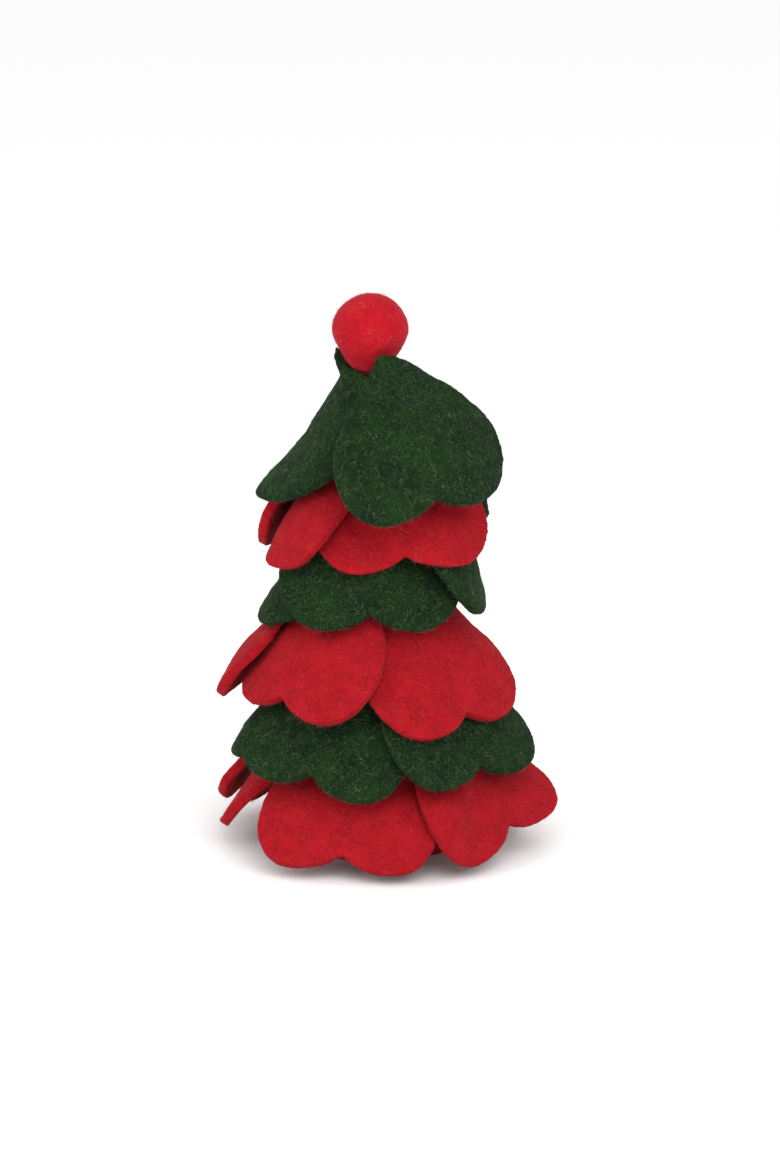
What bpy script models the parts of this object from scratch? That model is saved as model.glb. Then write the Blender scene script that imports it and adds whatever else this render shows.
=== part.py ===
# Felt tree: thick heart-shaped petals hang in six tiers on a slim cone, with a felted ball on top.
# Metres, +Z up. The origin is the middle of the underside of the base disc, and -Y faces the viewer.

import math

import bpy
import numpy as np

# Felt hearts
FELT_THICKNESS = 0.0030
HEART_WIDTH = 0.0500
HEART_LENGTH = 0.0486
HEART_NOTCH = 0.0050
PRESSED_SHARE = 0.40
SWELL_SHARE = 0.10
FLATTEN_SHARE = 0.35
CROWN_BEND = 0.0038
CROWN_NECK = 0.0072
CROWN_STAND_OFF = 0.0034

# Cone inside, the felt disc under it and the ball on top
CORE_HEIGHT = 0.1268
CORE_BASE_RADIUS = 0.0240
CORE_TOP_RADIUS = 0.0035
CORE_TOP_ROUND = 0.0015
DISC_RADIUS = 0.0235
DISC_THICKNESS = 0.0030
BALL_WIDTH = 0.0208
BALL_HEIGHT = 0.0200
BALL_TAPER_SHARE = 0.16
BALL_LEAN = 0.0020

# Clearances between pieces that are glued or that lie on one another
SEAT_GAP = 0.0003
LAYER_GAP = 0.0004

# The half outline of a heart as Bezier spans, in shares of the half width and of the length:
# rounded point, side, outer lobe, and the lobe's way back up to the notch.
POINT_SPAN_SHARES = ((0.0, 0.0), (0.07, 0.0), (0.12, 0.03), (0.17, 0.075))
SIDE_SPAN_SHARES = ((0.17, 0.075), (0.62, 0.335), (1.0, 0.50), (1.0, 0.72))
LOBE_SPAN_SHARES = ((1.0, 0.72), (1.0, 0.885), (0.83, 1.0), (0.58, 1.0))
NOTCH_WAY_SHARES = ((0.36, 1.0), (0.13, 0.975))
SPAN_STEPS = (2, 5, 4, 4)
HEART_MIDDLE_SHARE = 0.56
RING_SHARES = (0.38, 0.72, 1.0)

# Fineness of the cylinder map of what already hangs on the tree, and of the cloth laid on it
MAP_STEP = 0.0005
MAP_TURN_STEPS = 720
CLOTH_STEPS = 44
CLOTH_PROBES = 120
SETTLE_ROUNDS = 6

# Sides and rings of the turned pieces, and the angle from which an edge is drawn sharp
CORE_SIDES = 40
BALL_SIDES = 28
BALL_RINGS = 14
SHARP_DEGREES = 40.0

# Each tier: colour, height of the points as a share of the core's height, slope from the vertical at
# the point and at the hem in degrees, how much of a heart's length the tier above covers, and the
# hearts from the innermost to the outermost. A heart has its azimuth (0 faces the viewer, + to the
# right), roll and lean in degrees, its rise as a share of its length, and how flat its left and right
# sides are from 0 (hugs the cone) to 1 (a plane).
TIERS = (
    ("red", 0.306, 24.0, 38.0, 0.50, (
        (128.0, 0.0, -5.0, 0.08, 0.0, 0.0), (-176.0, 0.0, -2.0, 0.03, 0.0, 0.0),
        (-11.0, -2.0, 1.0, 0.03, 0.7, 0.3), (38.0, 17.0, 1.0, 0.07, 0.5, 0.9),
        (-103.0, 0.0, -4.0, 0.12, 0.0, 0.8), (-129.0, 0.0, -1.0, 0.14, 0.0, 0.6))),
    ("green", 0.458, 24.0, 36.0, 0.50, (
        (178.0, 0.0, -4.0, 0.04, 0.0, 0.0), (128.0, 0.0, -9.0, 0.10, 0.0, 0.0),
        (-108.0, 0.0, -8.0, 0.14, 0.0, 0.0),
        (-18.0, -8.0, 2.0, 0.04, 0.4, 0.0), (44.0, 0.0, 3.0, 0.06, 0.2, 0.6))),
    ("red", 0.600, 24.0, 36.0, 0.45, (
        (126.0, 0.0, -6.0, 0.03, 0.0, 0.0), (-176.0, 0.0, -4.0, 0.0, 0.0, 0.0),
        (38.0, 2.0, 0.0, 0.0, 0.0, 0.1), (-41.0, -3.0, 2.0, 0.06, 0.05, 0.4),
        (-110.0, 0.0, 5.0, 0.0, 0.0, 0.6))),
    ("green", 0.815, 20.0, 28.0, 0.40, (
        (163.0, -3.0, -3.0, 0.02, 0.0, 0.0), (-103.0, 0.0, -3.0, 0.0, 0.0, 0.0),
        (-4.0, 0.0, 0.0, 0.03, 0.3, 0.1), (82.0, 6.0, 1.0, 0.09, 0.6, 0.0))),
    ("red", 0.945, 22.0, 32.0, 0.50, (
        (134.0, 0.0, -7.0, 0.08, 0.0, 0.0), (11.0, 5.0, -5.0, 0.04, 0.1, 0.15),
        (-84.0, 0.0, -3.0, 0.0, 0.0, 0.3), (-133.0, 0.0, 0.0, 0.0, 0.0, 0.4))),
    ("green", 1.045, 24.0, 28.0, 0.0, (
        (-112.0, 10.0, 9.0, -0.03, 0.0, 0.1), (145.0, 0.0, 6.0, -0.16, 0.0, 0.0),
        (15.0, 9.0, 11.0, -0.02, 0.9, 0.2))),
)

COLOURS = {"green": (0.012, 0.055, 0.018, 1.0), "red": (0.47, 0.008, 0.016, 1.0)}
BALL_COLOUR = (0.56, 0.009, 0.026, 1.0)
CORE_COLOUR = (0.020, 0.050, 0.022, 1.0)
FELT_ROUGHNESS = 0.95
FOAM_ROUGHNESS = 0.80

CORE_BOTTOM = DISC_THICKNESS + SEAT_GAP
CORE_TOP = CORE_BOTTOM + CORE_HEIGHT
BALL_BOTTOM = CORE_TOP + SEAT_GAP
BALL_MIDDLE = BALL_BOTTOM + BALL_HEIGHT / 2


def clear_scene():
    for obj in list(bpy.data.objects):
        bpy.data.objects.remove(obj, do_unlink=True)


def matte(name, colour, roughness=FELT_ROUGHNESS):
    material = bpy.data.materials.new(name)
    material.use_nodes = True
    shader = material.node_tree.nodes["Principled BSDF"]
    shader.inputs["Base Color"].default_value = colour
    shader.inputs["Roughness"].default_value = roughness
    shader.inputs["Metallic"].default_value = 0.0
    return material


def add_object(name, points, faces, material):
    mesh = bpy.data.meshes.new(name)
    mesh.from_pydata([tuple(p) for p in points], [], faces)
    mesh.materials.append(material)
    mesh.shade_smooth()
    mesh.set_sharp_from_angle(angle=math.radians(SHARP_DEGREES))
    obj = bpy.data.objects.new(name, mesh)
    bpy.context.scene.collection.objects.link(obj)
    return obj


def ramp(value, low, high):
    """0 below low, 1 above high, and a smooth rise between them."""
    t = np.clip((value - low) / (high - low), 0.0, 1.0)
    return t * t * (3 - 2 * t)


# Turned pieces: the disc, the cone and the ball


def turned(name, profile, material, sides, centre=(0.0, 0.0)):
    """A solid turned about the vertical, from its bottom point up to its top point on the axis."""
    points = [(centre[0], centre[1], profile[0][1])]
    for radius, height in profile[1:-1]:
        for i in range(sides):
            turn = 2 * math.pi * i / sides
            x, y = radius * math.cos(turn), radius * math.sin(turn)
            points.append((centre[0] + x, centre[1] + y, height))
    points.append((centre[0], centre[1], profile[-1][1]))
    rings = len(profile) - 2
    faces = [(0, 1 + (i + 1) % sides, 1 + i) for i in range(sides)]
    for ring in range(rings - 1):
        low = 1 + ring * sides
        for i in range(sides):
            j = (i + 1) % sides
            faces.append((low + i, low + j, low + sides + j, low + sides + i))
    last = 1 + (rings - 1) * sides
    faces += [(last + i, last + (i + 1) % sides, len(points) - 1) for i in range(sides)]
    return add_object(name, points, faces, material)


def core_radius(height):
    share = np.clip((height - CORE_BOTTOM) / CORE_HEIGHT, 0.0, 1.0)
    return CORE_BASE_RADIUS + (CORE_TOP_RADIUS - CORE_BASE_RADIUS) * share


def ball_radius(height):
    """Radius of the ball at a height: an ellipse that narrows towards the bottom."""
    share = (height - BALL_MIDDLE) / (BALL_HEIGHT / 2)
    round_share = np.sqrt(np.clip(1 - share * share, 0.0, 1.0))
    return BALL_WIDTH / 2 * round_share * (1 + BALL_TAPER_SHARE * np.clip(share, -1.0, 0.0))


def make_disc(material):
    profile = [(0.0, 0.0), (DISC_RADIUS, 0.0), (DISC_RADIUS, DISC_THICKNESS), (0.0, DISC_THICKNESS)]
    return turned("base_disc", profile, material, CORE_SIDES)


def make_core(material):
    profile = [(0.0, CORE_BOTTOM), (CORE_BASE_RADIUS, CORE_BOTTOM)]
    profile.append((float(core_radius(CORE_TOP - CORE_TOP_ROUND)), CORE_TOP - CORE_TOP_ROUND))
    profile += [(CORE_TOP_RADIUS - CORE_TOP_ROUND, CORE_TOP), (0.0, CORE_TOP)]
    return turned("core_cone", profile, material, CORE_SIDES)


def make_ball(material):
    profile = [(0.0, BALL_BOTTOM)]
    for i in range(1, BALL_RINGS):
        height = BALL_MIDDLE - BALL_HEIGHT / 2 * math.cos(math.pi * i / BALL_RINGS)
        profile.append((float(ball_radius(height)), height))
    profile.append((0.0, BALL_BOTTOM + BALL_HEIGHT))
    return turned("top_ball", profile, material, BALL_SIDES, centre=(-BALL_LEAN, 0.0))


# The flat cut of a heart


def bezier(span, steps):
    a, b, c, d = (np.array(p) for p in span)
    return [(1 - t) ** 3 * a + 3 * (1 - t) ** 2 * t * b + 3 * (1 - t) * t * t * c + t**3 * d
            for t in (i / steps for i in range(steps))]


def heart_outline():
    """The flat heart, point at (0, 0) and lobes down +y, anticlockwise as seen with y up."""
    notch = (0.0, 1 - HEART_NOTCH / HEART_LENGTH)
    spans = (POINT_SPAN_SHARES, SIDE_SPAN_SHARES, LOBE_SPAN_SHARES,
             (LOBE_SPAN_SHARES[-1],) + NOTCH_WAY_SHARES + (notch,))
    half = [p for span, steps in zip(spans, SPAN_STEPS) for p in bezier(span, steps)]
    right = [(p[0] * HEART_WIDTH / 2, p[1] * HEART_LENGTH) for p in half]
    left = [(-x, y) for x, y in reversed(right[1:])]
    return np.array(right + [(0.0, notch[1] * HEART_LENGTH)] + left)


def inside(outline, x, y):
    """True where a flat point lies in the outline."""
    found = np.zeros(np.shape(x), bool)
    for (ax, ay), (bx, by) in zip(outline, np.roll(outline, -1, axis=0)):
        if ay != by:
            found ^= ((ay > y) != (by > y)) & (x < (bx - ax) * (y - ay) / (by - ay) + ax)
    return found


# The map of what already hangs on the tree: its outer radius at each azimuth and height


class TreeMap:
    def __init__(self):
        self.low = -HEART_LENGTH
        rows = int((BALL_BOTTOM + BALL_HEIGHT + HEART_LENGTH - self.low) / MAP_STEP) + 1
        heights = self.low + MAP_STEP * np.arange(rows)
        core = np.where(heights < CORE_TOP, core_radius(heights), 0.0)
        turns = 2 * math.pi * np.arange(MAP_TURN_STEPS) / MAP_TURN_STEPS
        ball = ball_radius(heights) - BALL_LEAN * np.sin(turns)[:, None]
        self.radius = np.maximum(core, np.where(ball_radius(heights) > 0, ball, 0.0))

    def cell(self, turn, height):
        column = np.round(turn / (2 * math.pi) * MAP_TURN_STEPS).astype(int) % MAP_TURN_STEPS
        row = np.round((height - self.low) / MAP_STEP).astype(int)
        return column, np.clip(row, 0, self.radius.shape[1] - 1)

    def at(self, turn, height):
        return self.radius[self.cell(turn, height)]

    def add(self, points):
        turn = np.arctan2(points[:, 0], -points[:, 1])
        fresh = np.zeros_like(self.radius)
        np.maximum.at(fresh, self.cell(turn, points[:, 2]), np.hypot(points[:, 0], points[:, 1]))
        wide = np.maximum.reduce([np.roll(fresh, s, axis=0) for s in (-1, 0, 1)])
        wide[:, 1:-1] = np.maximum.reduce([wide[:, :-2], wide[:, 1:-1], wide[:, 2:]])
        self.radius = np.maximum(self.radius, wide)


# A hanging heart


class Heart:
    """A heart laid on the tree: flat points go to a flared surface, lifted clear of what lies below."""

    def __init__(self, tree, point_height, slopes, covered_share, heart):
        azimuth, roll, lean, rise_share, self.left_flat, self.right_flat = heart
        self.azimuth, self.roll = math.radians(azimuth), math.radians(roll)
        self.slope = math.radians(slopes[0] + lean)
        self.slope_rate = math.radians(slopes[1] - slopes[0]) / HEART_LENGTH
        self.top = point_height + rise_share * HEART_LENGTH
        self.covered = covered_share * HEART_LENGTH
        self.full = self.covered + SWELL_SHARE * HEART_LENGTH
        self.freed = self.covered + FLATTEN_SHARE * HEART_LENGTH
        crown_flat = max(self.left_flat, self.right_flat)
        self.start = float(core_radius(self.top)) + SEAT_GAP
        self.start += 0.0 if covered_share else CROWN_STAND_OFF * crown_flat
        self.bend = 0.0 if covered_share else CROWN_BEND * (1 - crown_flat)
        self.neck = 0.0 if covered_share else CROWN_NECK * (1 - crown_flat)
        self.reach = math.hypot(HEART_WIDTH / 2, HEART_LENGTH)
        self.lift = np.zeros((CLOTH_STEPS + 1, CLOTH_STEPS + 1))
        self.outline = heart_outline()
        self.lay_on(tree)

    def placed(self, x, y, lift):
        """Azimuth, height and radius of the inner face at rolled flat points, lifted off the cone."""
        upright = np.clip(y, 0.0, self.neck)
        flared = y - upright
        angle = self.slope + self.slope_rate * flared
        if abs(self.slope_rate) * HEART_LENGTH < math.radians(0.01):
            out, down = flared * math.sin(self.slope), flared * math.cos(self.slope)
        else:
            out = (math.cos(self.slope) - np.cos(angle)) / self.slope_rate
            down = (np.sin(angle) - math.sin(self.slope)) / self.slope_rate
        down = down + upright
        radius = self.start + out + lift + self.bend * (1 - ramp(y, 0.0, CROWN_NECK))
        around = x / np.maximum(radius, CORE_TOP_RADIUS)
        flat = np.where(x < 0, self.left_flat, self.right_flat) * ramp(y, self.covered, self.freed)
        turn = (1 - flat) * around + flat * np.arctan(around)
        stretch = 1 + flat * (1 / np.cos(np.clip(turn, -1.2, 1.2)) - 1)
        return self.azimuth + turn, self.top - down, radius * stretch

    def rolled(self, x, y):
        cos_roll, sin_roll = math.cos(self.roll), math.sin(self.roll)
        return x * cos_roll + y * sin_roll, y * cos_roll - x * sin_roll

    def lattice(self, x, y):
        """Cell and place in the cell, on the cloth's lattice, of rolled flat points."""
        i = (x / self.reach + 1) / 2 * CLOTH_STEPS
        j = (y / self.reach + 1) / 2 * CLOTH_STEPS
        low_i = np.clip(np.floor(i).astype(int), 0, CLOTH_STEPS - 1)
        low_j = np.clip(np.floor(j).astype(int), 0, CLOTH_STEPS - 1)
        return low_i, low_j, i - low_i, j - low_j

    def lift_at(self, x, y):
        i, j, u, v = self.lattice(x, y)
        return (self.lift[i, j] * (1 - u) * (1 - v) + self.lift[i + 1, j] * u * (1 - v)
                + self.lift[i, j + 1] * (1 - u) * v + self.lift[i + 1, j + 1] * u * v)

    def inner(self, x, y):
        x, y = self.rolled(x, y)
        turn, height, radius = self.placed(x, y, self.lift_at(x, y))
        return np.stack([radius * np.sin(turn), -radius * np.cos(turn), height], axis=-1)

    def outer(self, x, y):
        step = FELT_THICKNESS / 6
        across = self.inner(x + step, y) - self.inner(x - step, y)
        along = self.inner(x, y + step) - self.inner(x, y - step)
        normal = np.cross(across, -along)
        normal /= np.linalg.norm(normal, axis=-1, keepdims=True)
        pressed_share = PRESSED_SHARE if self.covered else 1.0
        thick_share = pressed_share + (1 - pressed_share) * ramp(y, self.covered, self.full)
        return self.inner(x, y) + normal * (FELT_THICKNESS * thick_share)[..., None]

    def probes(self):
        across = np.linspace(-HEART_WIDTH / 2, HEART_WIDTH / 2, CLOTH_PROBES)
        along = np.linspace(0.0, HEART_LENGTH, CLOTH_PROBES)
        x, y = (a.ravel() for a in np.meshgrid(across, along))
        keep = inside(self.outline, x, y)
        edge_x, edge_y = self.outline.T
        return np.concatenate([x[keep], edge_x]), np.concatenate([y[keep], edge_y])

    def lay_on(self, tree):
        """Lifts the heart until it lies on the tree, and adds it to the tree's map."""
        x, y = self.probes()
        rolled_x, rolled_y = self.rolled(x, y)
        i, j, _, _ = self.lattice(rolled_x, rolled_y)
        for settle in range(SETTLE_ROUNDS):
            lift = self.lift_at(rolled_x, rolled_y)
            turn, height, radius = self.placed(rolled_x, rolled_y, lift)
            need = np.maximum(lift + tree.at(turn, height) + LAYER_GAP - radius, 0.0)
            wanted = np.zeros_like(self.lift)
            for di in (-1, 0, 1, 2):
                for dj in (-1, 0, 1, 2):
                    at = (np.clip(i + di, 0, CLOTH_STEPS), np.clip(j + dj, 0, CLOTH_STEPS))
                    np.maximum.at(wanted, at, need)
            for axis in (0, 1, 0, 1):
                ahead, behind = np.roll(wanted, 1, axis=axis), np.roll(wanted, -1, axis=axis)
                wanted = wanted / 2 + (ahead + behind) / 4
            self.lift = wanted if settle < SETTLE_ROUNDS / 2 else np.maximum(self.lift, wanted)
        tree.add(self.outer(x, y))

    def build(self, name, material):
        """Both faces as rings about the heart's middle, joined by the cut edge."""
        count = len(self.outline)
        middle = np.array([0.0, HEART_MIDDLE_SHARE * HEART_LENGTH])
        rings = [middle + share * (self.outline - middle) for share in RING_SHARES]
        flat = np.concatenate([[middle]] + rings)
        x, y = flat.T
        points = np.concatenate([self.outer(x, y), self.inner(x, y)])
        under = len(flat)
        faces = []
        for i in range(count):
            j = (i + 1) % count
            faces += [(0, 1 + j, 1 + i), (under, under + 1 + i, under + 1 + j)]
            for ring in range(len(RING_SHARES) - 1):
                a = 1 + ring * count
                b = a + count
                faces.append((a + i, a + j, b + j, b + i))
                faces.append((under + a + i, under + b + i, under + b + j, under + a + j))
            rim = 1 + (len(RING_SHARES) - 1) * count
            faces.append((rim + i, rim + j, under + rim + j, under + rim + i))
        return add_object(name, points, faces, material)


def build_tree():
    clear_scene()
    petal_felts = {name: matte(f"{name}_felt", colour) for name, colour in COLOURS.items()}
    make_disc(matte("base_felt", COLOURS["red"]))
    make_core(matte("core_foam", CORE_COLOUR, FOAM_ROUGHNESS))
    make_ball(matte("ball_felt", BALL_COLOUR))
    tree = TreeMap()
    for index, (colour, height_share, point_slope, hem_slope, covered_share, hearts) in enumerate(TIERS):
        tier = len(TIERS) - index
        point_height = CORE_BOTTOM + height_share * CORE_HEIGHT
        for number, heart in enumerate(hearts, start=1):
            petal = Heart(tree, point_height, (point_slope, hem_slope), covered_share, heart)
            petal.build(f"tier_{tier}_heart_{number}", petal_felts[colour])
            print(f"tier {tier} heart {number}: most lift {petal.lift.max() * 1000:.1f} mm")


build_tree()
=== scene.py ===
# Felt tree: heart petals of thick wool felt hang in six tiers round a slim cone, with a felted ball on top
import math
import random

import bmesh
import bpy
import numpy as np
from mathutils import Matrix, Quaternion, Vector, noise
from mathutils.bvhtree import BVHTree


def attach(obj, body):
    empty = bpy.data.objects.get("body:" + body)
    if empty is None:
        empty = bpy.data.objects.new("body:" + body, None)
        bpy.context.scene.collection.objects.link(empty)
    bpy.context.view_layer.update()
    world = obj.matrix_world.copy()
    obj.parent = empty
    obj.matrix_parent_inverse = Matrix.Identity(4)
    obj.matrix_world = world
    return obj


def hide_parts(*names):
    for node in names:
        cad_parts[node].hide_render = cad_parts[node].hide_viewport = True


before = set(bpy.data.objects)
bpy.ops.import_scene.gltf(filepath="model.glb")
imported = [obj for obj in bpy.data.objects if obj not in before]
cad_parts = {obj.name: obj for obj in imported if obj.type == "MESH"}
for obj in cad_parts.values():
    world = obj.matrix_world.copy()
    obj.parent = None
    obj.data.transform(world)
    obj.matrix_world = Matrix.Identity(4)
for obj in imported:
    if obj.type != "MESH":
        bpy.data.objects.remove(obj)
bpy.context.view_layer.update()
scene = bpy.context.scene
print("frame loaded:", len(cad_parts), "nodes")

# materials


def node(tree, kind, **settings):
    made = tree.nodes.new(kind)
    for key, value in settings.items():
        if key in made.inputs:
            made.inputs[key].default_value = value
        else:
            setattr(made, key, value)
    return made


def noiseAt(tree, coords, scale, detail=3.0, roughness=0.55, distortion=0.0, shift=(0.0, 0.0, 0.0)):
    moved = node(tree, "ShaderNodeMapping")
    moved.inputs["Location"].default_value = shift
    tree.links.new(coords, moved.inputs["Vector"])
    made = node(tree, "ShaderNodeTexNoise", Scale=scale, Detail=detail, Roughness=roughness,
                Distortion=distortion)
    tree.links.new(moved.outputs["Vector"], made.inputs["Vector"])
    return made.outputs["Fac"]


def mathOf(tree, operation, a, b=None):
    made = node(tree, "ShaderNodeMath", operation=operation)
    for slot, value in zip(made.inputs, (a, b)):
        if value is None:
            continue
        if isinstance(value, (int, float)):
            slot.default_value = value
        else:
            tree.links.new(value, slot)
    return made.outputs["Value"]


def rangeOf(tree, value, low, high, toLow=0.0, toHigh=1.0):
    made = node(tree, "ShaderNodeMapRange", interpolation_type="SMOOTHSTEP")
    made.inputs["From Min"].default_value = low
    made.inputs["From Max"].default_value = high
    made.inputs["To Min"].default_value = toLow
    made.inputs["To Max"].default_value = toHigh
    tree.links.new(value, made.inputs["Value"])
    return made.outputs["Result"]


def mixColour(tree, share, a, b):
    made = node(tree, "ShaderNodeMix", data_type="RGBA")
    for slot, value in ((made.inputs[0], share), (made.inputs[6], a), (made.inputs[7], b)):
        if isinstance(value, (int, float)):
            slot.default_value = value
        elif isinstance(value, tuple):
            slot.default_value = value + (1.0,)
        else:
            tree.links.new(value, slot)
    return made.outputs[2]


def newMaterial(name):
    material = bpy.data.materials.new(name)
    material.use_nodes = True
    return material, material.node_tree, material.node_tree.nodes["Principled BSDF"]


curls = dict(detail=1.0, warp=1.6, cutScale=0.9, cutBlend=0.07)


def curlyHairs(tree, coords, scale, width, cover, shift):
    # contour lines of a warped noise read as curly hairs; a second noise cuts them into short lengths
    swirl = noiseAt(tree, coords, scale, detail=curls["detail"], distortion=curls["warp"], shift=shift)
    fromLine = mathOf(tree, "ABSOLUTE", mathOf(tree, "SUBTRACT", swirl, 0.5))
    line = rangeOf(tree, fromLine, 0.0, width, 1.0, 0.0)
    cut = noiseAt(tree, coords, scale * curls["cutScale"], detail=curls["detail"], shift=shift[::-1])
    return mathOf(tree, "MULTIPLY", line, rangeOf(tree, cut, cover, cover + curls["cutBlend"]))


wool = dict(  # what all the felts share
    patchRange=(0.36, 0.66),
    grainDetail=4.0, grainRoughness=0.7, grainRange=(0.32, 0.70),
    grainHeight=0.6, hairHeight=0.4,  # shares of the bump
    roughness=(0.98, 0.86), gloss=0.05, sheenRoughness=0.45)


def feltMaterial(name, look):
    material, tree, shader = newMaterial(name)
    coords = node(tree, "ShaderNodeTexCoord").outputs["Object"]
    patches = rangeOf(tree, noiseAt(tree, coords, look["patchScale"]), *wool["patchRange"])
    grain = noiseAt(tree, coords, look["grainScale"], detail=wool["grainDetail"],
                    roughness=wool["grainRoughness"])
    grain = rangeOf(tree, grain, *wool["grainRange"])
    colour = mixColour(tree, patches, look["deep"], look["main"])
    colour = mixColour(tree, mathOf(tree, "MULTIPLY", grain, look["grainShare"]), colour, look["light"])
    hairs = None
    for scale, width, cover, shift in look["hairLayers"]:
        layer = curlyHairs(tree, coords, scale, width, cover, shift)
        hairs = layer if hairs is None else mathOf(tree, "MAXIMUM", hairs, layer)
    colour = mixColour(tree, mathOf(tree, "MULTIPLY", hairs, look["hairShare"]), colour, look["hair"])
    tree.links.new(colour, shader.inputs["Base Color"])
    height = mathOf(tree, "ADD", mathOf(tree, "MULTIPLY", grain, wool["grainHeight"]),
                    mathOf(tree, "MULTIPLY", hairs, wool["hairHeight"]))
    bump = node(tree, "ShaderNodeBump", Strength=look["bump"], Distance=look["bumpDepth"])
    tree.links.new(height, bump.inputs["Height"])
    tree.links.new(bump.outputs["Normal"], shader.inputs["Normal"])
    tree.links.new(rangeOf(tree, grain, 0.0, 1.0, *wool["roughness"]), shader.inputs["Roughness"])
    shader.inputs["Specular IOR Level"].default_value = wool["gloss"]
    shader.inputs["Sheen Weight"].default_value = look["sheen"]
    shader.inputs["Sheen Roughness"].default_value = wool["sheenRoughness"]
    shader.inputs["Sheen Tint"].default_value = look["sheenTint"] + (1.0,)
    return material


# a hair layer: noise scale, width of the line, how much is cut away, where the noise starts
greenFelt = dict(
    deep=(0.0026, 0.0098, 0.0047), main=(0.0058, 0.0195, 0.0048), light=(0.0180, 0.0430, 0.0115),
    hair=(0.0950, 0.1550, 0.0660),
    patchScale=150.0, grainScale=1100.0, grainShare=0.42, hairShare=0.46,
    hairLayers=((300.0, 0.011, 0.43, (3.1, 0.4, 1.7)), (370.0, 0.013, 0.44, (0.6, 5.2, 2.9)),
                (440.0, 0.015, 0.45, (9.2, 7.1, 0.3)), (230.0, 0.008, 0.50, (7.7, 1.3, 4.1))),
    bump=0.75, bumpDepth=0.00022, sheen=0.05, sheenTint=(0.45, 0.70, 0.42))
redFelt = dict(
    deep=(0.2380, 0.0042, 0.0085), main=(0.3050, 0.0060, 0.0110), light=(0.3950, 0.0135, 0.0200),
    hair=(0.5400, 0.1000, 0.0900),
    patchScale=190.0, grainScale=1100.0, grainShare=0.50, hairShare=0.17,
    hairLayers=((230.0, 0.007, 0.56, (2.3, 6.1, 0.9)), (350.0, 0.010, 0.56, (8.4, 0.2, 3.3))),
    bump=0.50, bumpDepth=0.00018, sheen=0.05, sheenTint=(1.0, 0.45, 0.42))
ballFelt = dict(
    deep=(0.3300, 0.0045, 0.0110), main=(0.3900, 0.0055, 0.0140), light=(0.4600, 0.0130, 0.0240),
    hair=(0.6400, 0.1300, 0.1200),
    patchScale=130.0, grainScale=1300.0, grainShare=0.34, hairShare=0.20,
    hairLayers=((240.0, 0.008, 0.52, (1.9, 4.4, 6.0)), (340.0, 0.012, 0.52, (5.5, 2.2, 0.7))),
    bump=0.55, bumpDepth=0.00022, sheen=0.08, sheenTint=(1.0, 0.50, 0.48))
feltOf = {
    "green": feltMaterial("green wool felt", greenFelt),
    "red": feltMaterial("red wool felt", redFelt),
    "ball": feltMaterial("red wet felt", ballFelt),
}

strand = dict(patchScale=260.0, detail=1.0, paleSpan=0.22, roughness=0.75, gloss=0.08, sheen=0.05)


def hairMaterial(name, look):
    material, tree, shader = newMaterial(name)
    coords = node(tree, "ShaderNodeTexCoord").outputs["Object"]
    share = noiseAt(tree, coords, strand["patchScale"], detail=strand["detail"])
    share = rangeOf(tree, share, look["paleFrom"], look["paleFrom"] + strand["paleSpan"])
    tree.links.new(mixColour(tree, share, look["dark"], look["pale"]), shader.inputs["Base Color"])
    shader.inputs["Roughness"].default_value = strand["roughness"]
    shader.inputs["Specular IOR Level"].default_value = strand["gloss"]
    shader.inputs["Sheen Weight"].default_value = strand["sheen"]
    return material


greenStrand = dict(dark=(0.009, 0.026, 0.009), pale=(0.120, 0.185, 0.082), paleFrom=0.36)
redStrand = dict(dark=(0.310, 0.008, 0.013), pale=(0.540, 0.130, 0.105), paleFrom=0.45)
ballStrand = dict(dark=(0.380, 0.009, 0.018), pale=(0.620, 0.140, 0.120), paleFrom=0.48)
hairOf = {
    "green": hairMaterial("green wool hairs", greenStrand),
    "red": hairMaterial("red wool hairs", redStrand),
    "ball": hairMaterial("ball wool hairs", ballStrand),
}
print("felts and hairs mixed")

# shapes


def newObject(name, mesh, material):
    mesh.materials.clear()
    mesh.materials.append(material)
    made = bpy.data.objects.new(name, mesh)
    scene.collection.objects.link(made)
    return made


def bakeModifiers(obj):
    graph = bpy.context.evaluated_depsgraph_get()
    mesh = bpy.data.meshes.new_from_object(obj.evaluated_get(graph))
    old = obj.data
    obj.modifiers.clear()
    obj.data = mesh
    bpy.data.meshes.remove(old)


def rowsOf(items, what, kind):
    values = np.empty(len(items) * 3, kind)
    items.foreach_get(what, values)
    return values.reshape(-1, 3)


rounding = dict(
    weld=1e-6, flatAngle=0.6, skewAngle=1.4,  # facets within these angles (radians) join into quads
    sharpAngle=math.radians(42), levels=2, calmShare=0.5)


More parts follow.
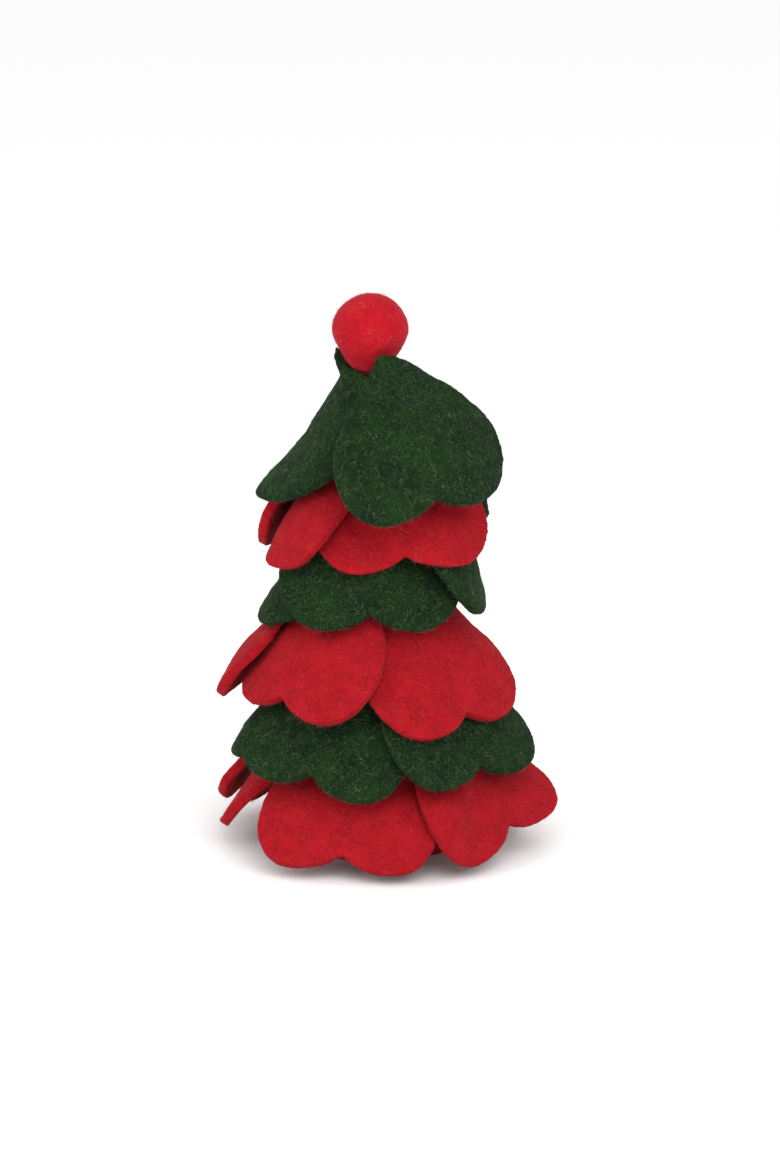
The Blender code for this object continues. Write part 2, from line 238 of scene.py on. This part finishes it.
def feltBody(nodeName, newName, material, look):
    # the CAD solid with its facets rounded, its cut edges kept, and the felt's small unevenness on it
    shape = bmesh.new()
    shape.from_mesh(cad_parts[nodeName].data)
    bmesh.ops.remove_doubles(shape, verts=shape.verts, dist=rounding["weld"])
    bmesh.ops.join_triangles(shape, faces=shape.faces, angle_face_threshold=rounding["flatAngle"],
                             angle_shape_threshold=rounding["skewAngle"])
    crease = shape.edges.layers.float.new("crease_edge")
    for edge in shape.edges:
        if len(edge.link_faces) == 2 and edge.calc_face_angle(0.0) > rounding["sharpAngle"]:
            edge[crease] = look["edgeCrease"]
    mesh = bpy.data.meshes.new(newName)
    shape.to_mesh(mesh)
    shape.free()
    body = newObject(newName, mesh, material)
    body.modifiers.new("rounded", "SUBSURF").levels = rounding["levels"]
    cells = body.modifiers.new("even", "REMESH")
    cells.mode = "VOXEL"
    cells.voxel_size = look["voxel"]
    calm = body.modifiers.new("calm", "SMOOTH")
    calm.factor = rounding["calmShare"]
    calm.iterations = look["calmRounds"]
    bakeModifiers(body)
    data = body.data
    points = rowsOf(data.vertices, "co", np.float32)
    normals = rowsOf(data.vertices, "normal", np.float32)
    push = np.zeros(len(points), np.float32)
    for size, depth in look["unevenness"]:
        push += depth * np.array([noise.noise(Vector(p) / size) for p in points.astype(float)], np.float32)
    data.vertices.foreach_set("co", (points + normals * push[:, None]).ravel())
    data.shade_smooth()
    data.update()
    return body


def surfaceOf(obj):
    data = obj.data
    faces = [tuple(f.vertices) for f in data.polygons]
    areas = np.empty(len(faces))
    data.polygons.foreach_get("area", areas)
    points = rowsOf(data.vertices, "co", np.float64)
    centres = rowsOf(data.polygons, "center", np.float64)
    normals = rowsOf(data.polygons, "normal", np.float64)
    return BVHTree.FromPolygons([tuple(p) for p in points], faces), areas, centres, normals


hairTube = dict(
    corners=(0.0, 2.0944, 4.1888), thinning=0.6,  # three sides, and how much thinner the tip is
    rootDepth=0.00005, clearance=0.00003, wobble=0.25,
    everywhere=-2.0,  # a facing below -1 lets hairs grow on the whole surface
    quickShare=6)


def addHair(points, faces, path, radius):
    first = len(points)
    last = len(path) - 1
    sides = len(hairTube["corners"])
    for k, place in enumerate(path):
        ahead = (path[min(k + 1, last)] - path[max(k - 1, 0)]).normalized()
        side = ahead.orthogonal().normalized()
        other = ahead.cross(side)
        r = radius * (1.0 - hairTube["thinning"] * k / last)
        for turn in hairTube["corners"]:
            points.append(place + side * (r * math.cos(turn)) + other * (r * math.sin(turn)))
    for k in range(last):
        a, b = first + sides * k, first + sides * (k + 1)
        for i in range(sides):
            j = (i + 1) % sides
            faces.append((a + i, a + j, b + j, b + i))
    end = first + sides * last
    faces.append((first + 2, first + 1, first))
    faces.append((end, end + 1, end + 2))


def woolHairs(body, name, material, kinds, seed):
    # loose hairs that lie curled on the felt, a short nap that stands off it, and fibres on the cut hem
    pick = random.Random(seed)
    tree, areas, centres, normals = surfaceOf(body)
    points, faces = [], []
    for kind in kinds:
        # a kind with a facing grows only where the surface looks down at least that much, as the hem does
        running = np.cumsum(areas * (normals[:, 2] < -kind.get("facing", hairTube["everywhere"])))
        count = kind["count"] // 1
        for _ in range(count):
            at = int(np.searchsorted(running, pick.random() * running[-1]))
            place, up = Vector(centres[at]), Vector(normals[at])
            along = up.orthogonal().normalized()
            along.rotate(Quaternion(up, pick.uniform(0, 2 * math.pi)))
            length = pick.uniform(*kind["length"])
            steps = kind["steps"]
            curl = pick.uniform(-1, 1) * kind["curl"] / steps
            rise = pick.uniform(*kind["rise"])
            path = [place - up * hairTube["rootDepth"]]
            for k in range(1, steps + 1):
                near, normal, _, _ = tree.find_nearest(place + along * (length / steps))
                if near is None:
                    break
                turn = curl + pick.uniform(-hairTube["wobble"], hairTube["wobble"])
                along = (along - normal * along.dot(normal)).normalized()
                along.rotate(Quaternion(normal, turn))
                place = near
                share = k / steps
                height = rise * (math.sin(math.pi * share) if kind["lies"] else share)
                path.append(near + normal * (hairTube["clearance"] + height))
            if len(path) > 2:
                addHair(points, faces, path, pick.uniform(*kind["radius"]))
    mesh = bpy.data.meshes.new(name)
    mesh.from_pydata([tuple(p) for p in points], [], faces)
    mesh.validate()
    mesh.shade_smooth()
    return newObject(name, mesh, material)


# heart petals

# the flat cut: rounded point, side, lobe and notch as Bezier spans in shares of half width and length
cutSpans = (((0.0, 0.0), (0.07, 0.0), (0.12, 0.03), (0.17, 0.075)),
            ((0.17, 0.075), (0.62, 0.335), (1.0, 0.50), (1.0, 0.72)),
            ((1.0, 0.72), (1.0, 0.885), (0.83, 1.0), (0.58, 1.0)),
            ((0.58, 1.0), (0.36, 1.0), (0.13, 0.975), (0.0, 0.897)))
cutSteps = 12  # points on each span


def cutAreaOf(width, length):
    half = []
    for a, b, c, d in (tuple(np.array(p) for p in span) for span in cutSpans):
        half += [(1 - t)**3 * a + 3 * (1 - t)**2 * t * b + 3 * (1 - t) * t * t * c + t**3 * d
                 for t in np.linspace(0, 1, cutSteps)]
    x, y = np.array(half).T
    return abs(np.trapz(x, y)) * width * length


# hairs come in kinds: loose ones, nap, fibres on the hem; lengths, rise and radius are from-to in metres
petal = dict(
    width=0.0500, length=0.0486, seed=100,
    voxel=0.00045, calmRounds=3, edgeCrease=0.85,
    unevenness=((0.0060, 0.00022), (0.0018, 0.00010), (0.0007, 0.00005)),
    hairs=dict(
        green=(dict(count=420, length=(0.0020, 0.0062), steps=8, curl=3.2, rise=(0.0000, 0.0004), lies=True,
                    radius=(0.000022, 0.000038)),
               dict(count=1000, length=(0.0006, 0.0016), steps=3, curl=1.2, rise=(0.0002, 0.0006), lies=False,
                    radius=(0.000016, 0.000028)),
               dict(count=110, length=(0.0004, 0.0012), steps=4, curl=2.0, rise=(0.0004, 0.0013), lies=False,
                    radius=(0.000016, 0.000026), facing=0.72)),
        red=(dict(count=70, length=(0.0030, 0.0095), steps=10, curl=3.4, rise=(0.0000, 0.0005), lies=True,
                  radius=(0.000022, 0.000036)),
             dict(count=1000, length=(0.0006, 0.0014), steps=3, curl=1.2, rise=(0.0001, 0.0005), lies=False,
                  radius=(0.000014, 0.000022)),
             dict(count=120, length=(0.0004, 0.0012), steps=4, curl=2.0, rise=(0.0004, 0.0013), lies=False,
                  radius=(0.000016, 0.000026), facing=0.72))))
petal["cutArea"] = cutAreaOf(petal["width"], petal["length"])
print(f"heart cut: {petal['cutArea'] * 1e6:.0f} mm2")
petalNames = sorted(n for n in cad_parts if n.startswith("tier_"))
for number, name in enumerate(petalNames):
    colour = "green" if int(name.split("_")[1]) % 2 else "red"
    felt = feltBody(name, name + "_felt", feltOf[colour], petal)
    hairs = woolHairs(felt, name + "_hairs", hairOf[colour], petal["hairs"][colour], petal["seed"] + number)
    for piece in (felt, hairs):
        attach(piece, "root")
    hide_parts(name)
print("petals:", len(petalNames))

# ball on top

ball = dict(
    seatSag=0.0026, seatReach=0.0062,  # how far the wool sinks over the cone's top, and how far up it gives
    voxel=0.00045, calmRounds=3, edgeCrease=0.0, seed=7,
    unevenness=((0.0090, 0.00022), (0.0035, 0.00010), (0.0012, 0.00005)),
    hairs=(dict(count=80, length=(0.0030, 0.0090), steps=9, curl=2.8, rise=(0.0000, 0.0004), lies=True,
                radius=(0.000022, 0.000038)),
           dict(count=600, length=(0.0008, 0.0020), steps=3, curl=1.0, rise=(0.0003, 0.0008), lies=False,
                radius=(0.000016, 0.000028))))
ballBody = feltBody("top_ball", "top_ball_felt", feltOf["ball"], ball)
lowest = min(v.co.z for v in ballBody.data.vertices)
for v in ballBody.data.vertices:
    v.co.z -= ball["seatSag"] * max(0.0, 1.0 - (v.co.z - lowest) / ball["seatReach"])**2
ballHairs = woolHairs(ballBody, "top_ball_hairs", hairOf["ball"], ball["hairs"], ball["seed"])
for piece in (ballBody, ballHairs):
    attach(piece, "root")
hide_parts("top_ball")
print("ball felted")

# base disc and cone

disc = dict(width=0.047, voxel=0.0005, calmRounds=4, edgeCrease=0.8, unevenness=((0.0018, 0.00006),))
discBody = feltBody("base_disc", "base_disc_felt", feltOf["red"], disc)
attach(discBody, "root")
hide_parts("base_disc")

foam = dict(
    deep=(0.006, 0.020, 0.010), main=(0.012, 0.034, 0.016), light=(0.022, 0.055, 0.026),
    hair=(0.03, 0.07, 0.03),
    patchScale=150.0, grainScale=2400.0, grainShare=0.5, hairShare=0.0,  # the one layer below only dents it
    hairLayers=((500.0, 0.01, 0.6, (0.0, 0.0, 0.0)),),
    bump=0.8, bumpDepth=0.0002, sheen=0.0, sheenTint=(1.0, 1.0, 1.0))
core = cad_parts["core_cone"]
core.data.materials.clear()
core.data.materials.append(feltMaterial("green foam", foam))
print("base and cone finished")

# floor, light and camera

studio = dict(
    floorSize=14.0, floorColour=(0.96, 0.96, 0.96), floorRoughness=0.9,
    worldColour=(1.0, 1.0, 1.0), worldStrength=1.0,
    lightsAim=(0, 0, 0.07),
    key=dict(place=(0.25, -0.98, 0.82), size=1.00, power=9.2),
    fill=dict(place=(-0.80, -0.60, 0.50), size=0.70, power=2.6))
floorMesh = bpy.data.meshes.new("floor")
half = studio["floorSize"] / 2
floorCorners = [(-half, -half, 0), (half, -half, 0), (half, half, 0), (-half, half, 0)]
floorMesh.from_pydata(floorCorners, [], [(0, 1, 2, 3)])
floorPaint, _, floorShader = newMaterial("pale floor")
floorShader.inputs["Base Color"].default_value = studio["floorColour"] + (1.0,)
floorShader.inputs["Roughness"].default_value = studio["floorRoughness"]
newObject("floor", floorMesh, floorPaint)

world = bpy.data.worlds.new("studio")
scene.world = world
world.use_nodes = True
sky = world.node_tree.nodes["Background"]
sky.inputs["Color"].default_value = studio["worldColour"] + (1.0,)
sky.inputs["Strength"].default_value = studio["worldStrength"]

for name in ("key", "fill"):
    data = bpy.data.lights.new(name, "AREA")
    data.shape = "DISK"
    data.size = studio[name]["size"]
    data.energy = studio[name]["power"]
    light = bpy.data.objects.new(name, data)
    light.location = studio[name]["place"]
    towards = Vector(studio["lightsAim"]) - Vector(studio[name]["place"])
    light.rotation_euler = towards.to_track_quat("-Z", "Y").to_euler()
    scene.collection.objects.link(light)

lens = dict(
    distance=1.0, elevation=13.0, aim=(0.00324, 0.0, 0.07094),
    focal=170.94, sensor=36.0, nearest=0.01)
camera = bpy.data.objects.new("camera", bpy.data.cameras.new("camera"))
camera.data.sensor_fit = "HORIZONTAL"
camera.data.sensor_width = lens["sensor"]
camera.data.lens = lens["focal"]
camera.data.clip_start = lens["nearest"]
tilt = math.radians(lens["elevation"])
camera.location = Vector(lens["aim"]) + lens["distance"] * Vector((0, -math.cos(tilt), math.sin(tilt)))
camera.rotation_euler = (math.pi / 2 - tilt, 0, 0)
scene.collection.objects.link(camera)
scene.camera = camera
scene.view_settings.view_transform = "Standard"
print("studio set")
